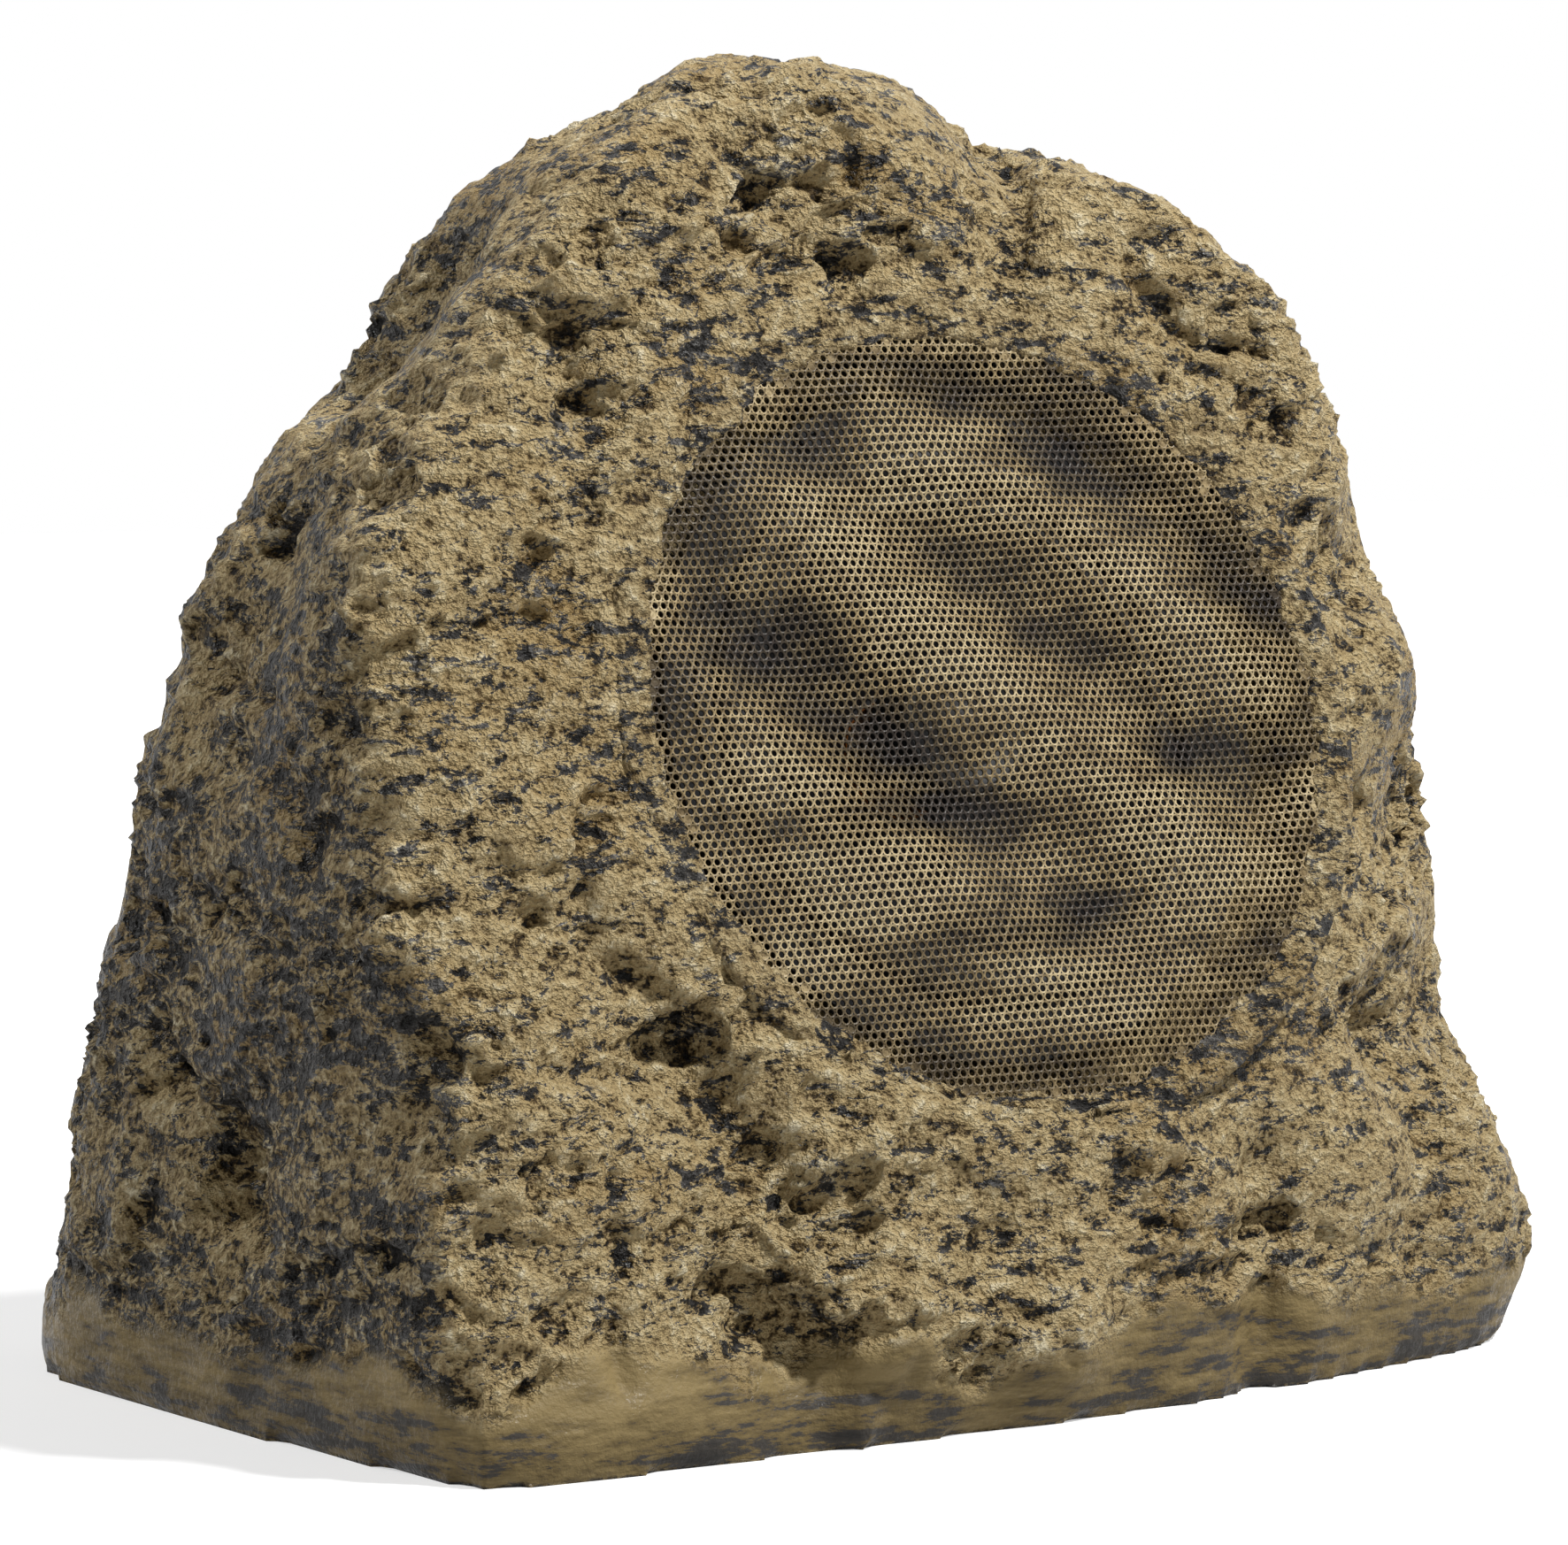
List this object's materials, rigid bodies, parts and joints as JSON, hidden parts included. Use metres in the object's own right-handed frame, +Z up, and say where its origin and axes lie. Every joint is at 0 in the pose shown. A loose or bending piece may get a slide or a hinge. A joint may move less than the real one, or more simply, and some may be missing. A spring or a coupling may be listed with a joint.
{
  "type": "rock shaped garden speaker",
  "caption": "Garden loudspeaker in a hollow moulded boulder, with a round perforated grille in its sloping front, a coaxial driver behind it and a base plate",
  "frame": {"origin": "on the ground under the middle of the rock, at the centre of the bottom of its box", "axes": "+X right along the width, -Y towards the grille and the listener, +Z up"},
  "size_m": [0.4873, 0.3249, 0.4066],
  "materials": {
    "rock_paint": "hand-painted moulded stone texture",
    "grille_paint": "tan and brown paint on perforated steel",
    "black_plastic": "moulded black nylon",
    "gasket_rubber": "closed-cell rubber",
    "basket_steel": "black stoved enamel on pressed steel",
    "cone_poly": "mineral-filled polypropylene",
    "surround_rubber": "moulded butyl rubber",
    "former_kapton": "amber polyimide film",
    "copper_wire": "enamelled copper winding",
    "spider_cloth": "resin-dipped woven cotton",
    "motor_steel": "zinc-plated steel",
    "ferrite": "sintered ferrite",
    "dome_silk": "coated silk",
    "tag_board": "phenolic board with tinned tags",
    "screw_black": "black phosphated steel",
    "screw_steel": "stainless steel",
    "board_green": "solder-masked glass epoxy",
    "standoff_brass": "turned brass",
    "capacitor_film": "yellow film wrap",
    "resistor_ceramic": "white cement body",
    "wire_red": "red insulation",
    "wire_blue": "blue insulation",
    "terminal_green": "green polyamide"
  },
  "bodies": {
    "cabinet": {"rock_shell": "rock_paint", "grille": "grille_paint", "port_grille": "grille_paint", "port_tube": "black_plastic", "driver_gasket": "gasket_rubber", "woofer_basket": "basket_steel", "woofer_surround": "surround_rubber", "spider": "spider_cloth", "top_plate": "motor_steel", "magnet": "ferrite", "back_plate": "motor_steel", "tweeter_post": "black_plastic", "tweeter_cup": "black_plastic", "tweeter_magnet": "ferrite", "tweeter_dome": "dome_silk", "tweeter_face": "black_plastic", "terminal_strip": "tag_board", "driver_screws": "screw_black", "crossover_board": "board_green", "board_standoffs": "standoff_brass", "board_screws": "screw_steel", "woofer_inductor": "copper_wire", "tweeter_inductor": "copper_wire", "capacitors": "capacitor_film", "power_resistor": "resistor_ceramic", "terminal_block": "terminal_green", "woofer_lead": "wire_red", "tweeter_lead": "wire_blue", "base_plate": "black_plastic", "base_gasket": "gasket_rubber", "base_screws": "screw_steel", "gland_body": "black_plastic", "gland_seal": "gasket_rubber", "gland_cap": "black_plastic", "gland_locknut": "black_plastic"},
    "woofer_moving": {"woofer_cone": "cone_poly", "coil_former": "former_kapton", "voice_coil": "copper_wire"}
  },
  "joints": [
    {"name": "woofer_travel", "type": "slide", "parent": "cabinet", "child": "woofer_moving", "axis": [0, -0.9483, 0.3173], "range_m": [-0.004, 0.004], "stiffness_N_per_m": 1250, "deforming": ["woofer_surround", "spider"]}
  ]
}
